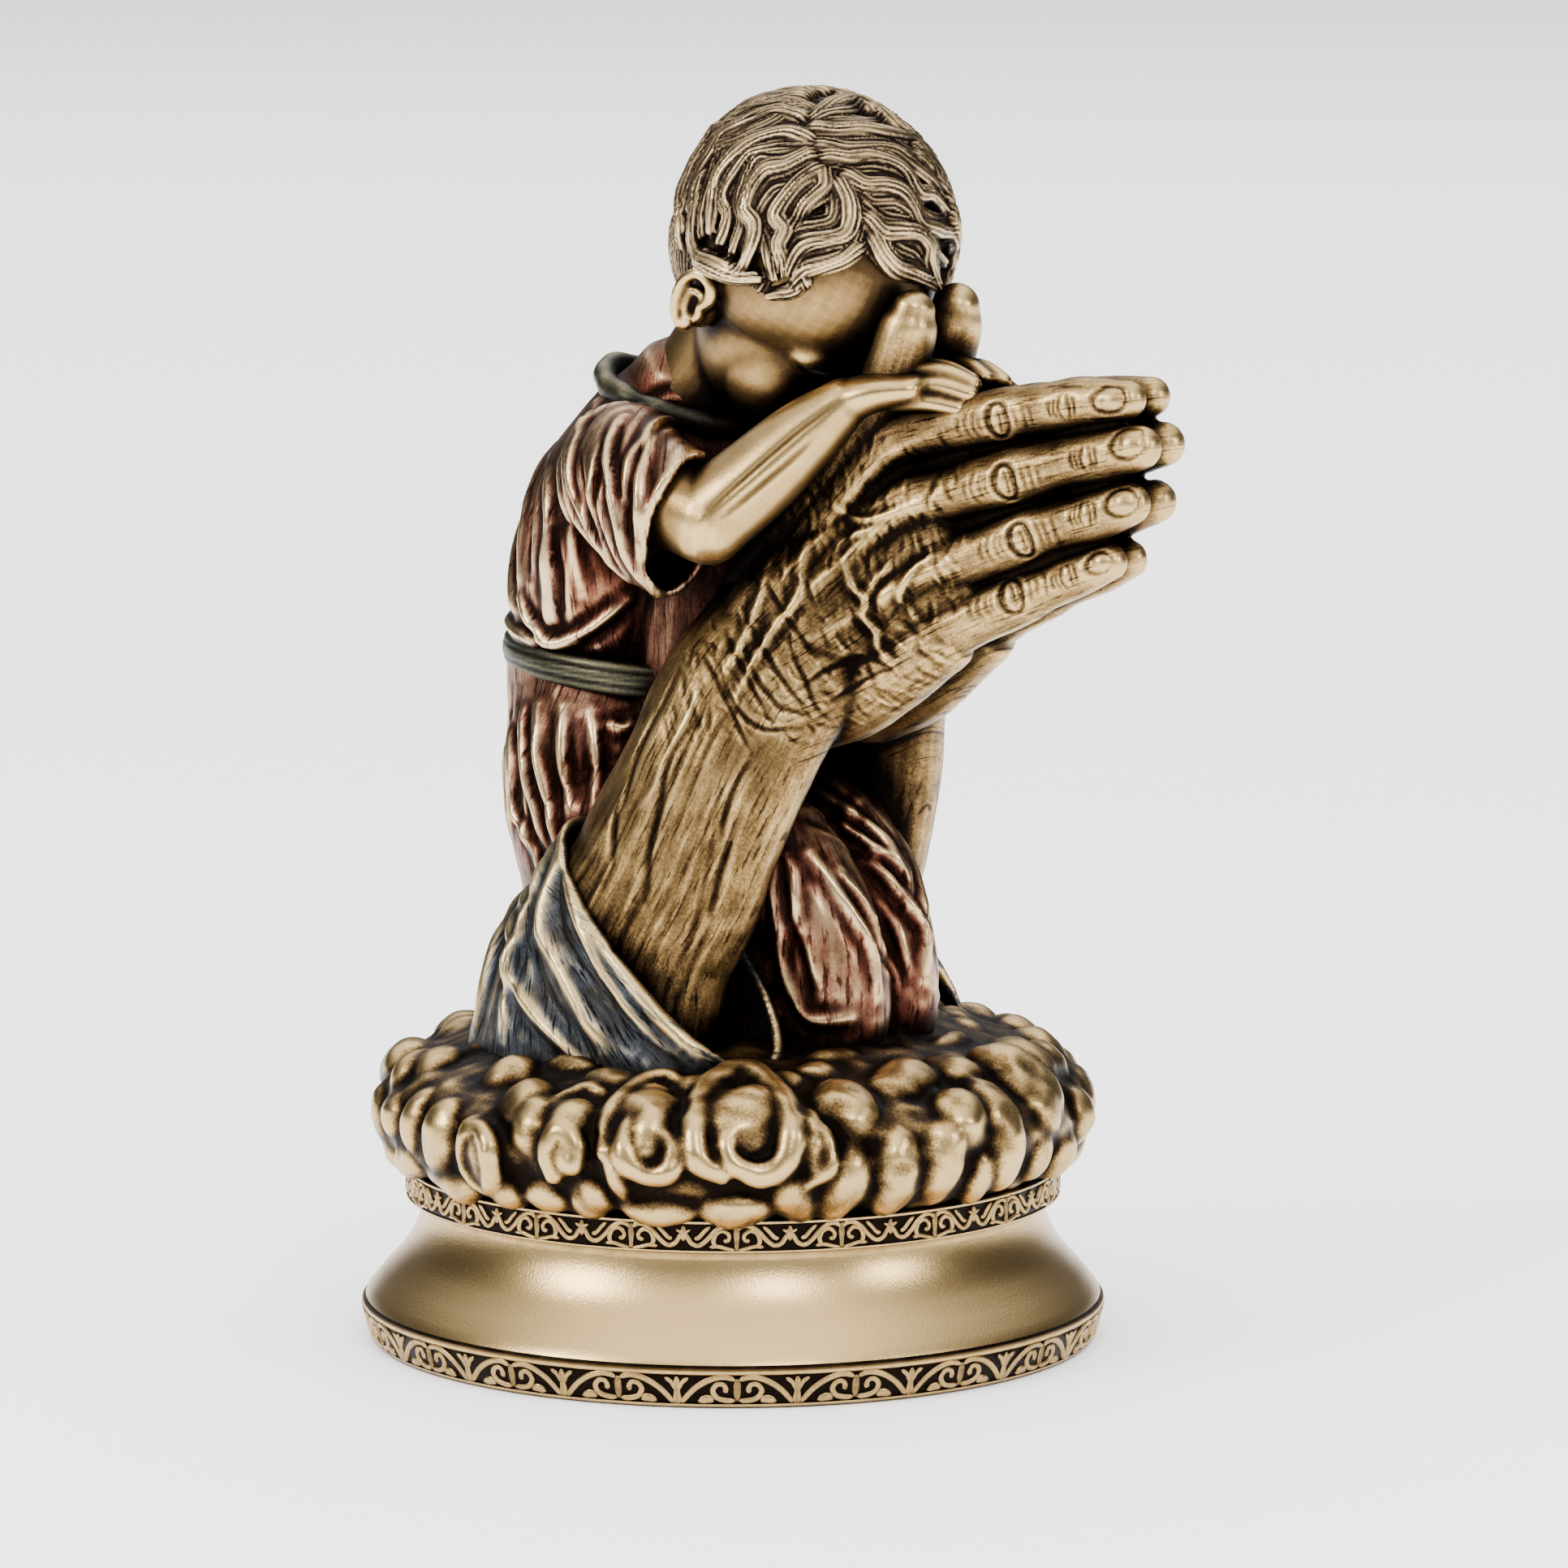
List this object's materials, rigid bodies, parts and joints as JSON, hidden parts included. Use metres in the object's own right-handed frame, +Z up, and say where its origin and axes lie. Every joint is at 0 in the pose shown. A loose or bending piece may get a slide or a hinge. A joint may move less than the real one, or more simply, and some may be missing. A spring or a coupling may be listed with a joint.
{
  "type": "praying hands statue",
  "caption": "Figurine of a kneeling child resting on two large pressed palms that rise from sleeves in a bank of cloud, on a round flared plinth with two relief bands",
  "frame": {"origin": "centre of the plinth's flat underside", "axes": "+X is the way the large hands point, +Y is the child's left, +Z is up"},
  "size_m": [0.1549, 0.1312, 0.2196],
  "materials": {
    "cold_cast_bronze": "antique bronze powder in resin, dark patina in the recesses, highlights polished to satin gold, faint red-brown and blue-grey tints on the cloth"
  },
  "bodies": {
    "root": {"statue": "cold_cast_bronze"}
  },
  "joints": []
}
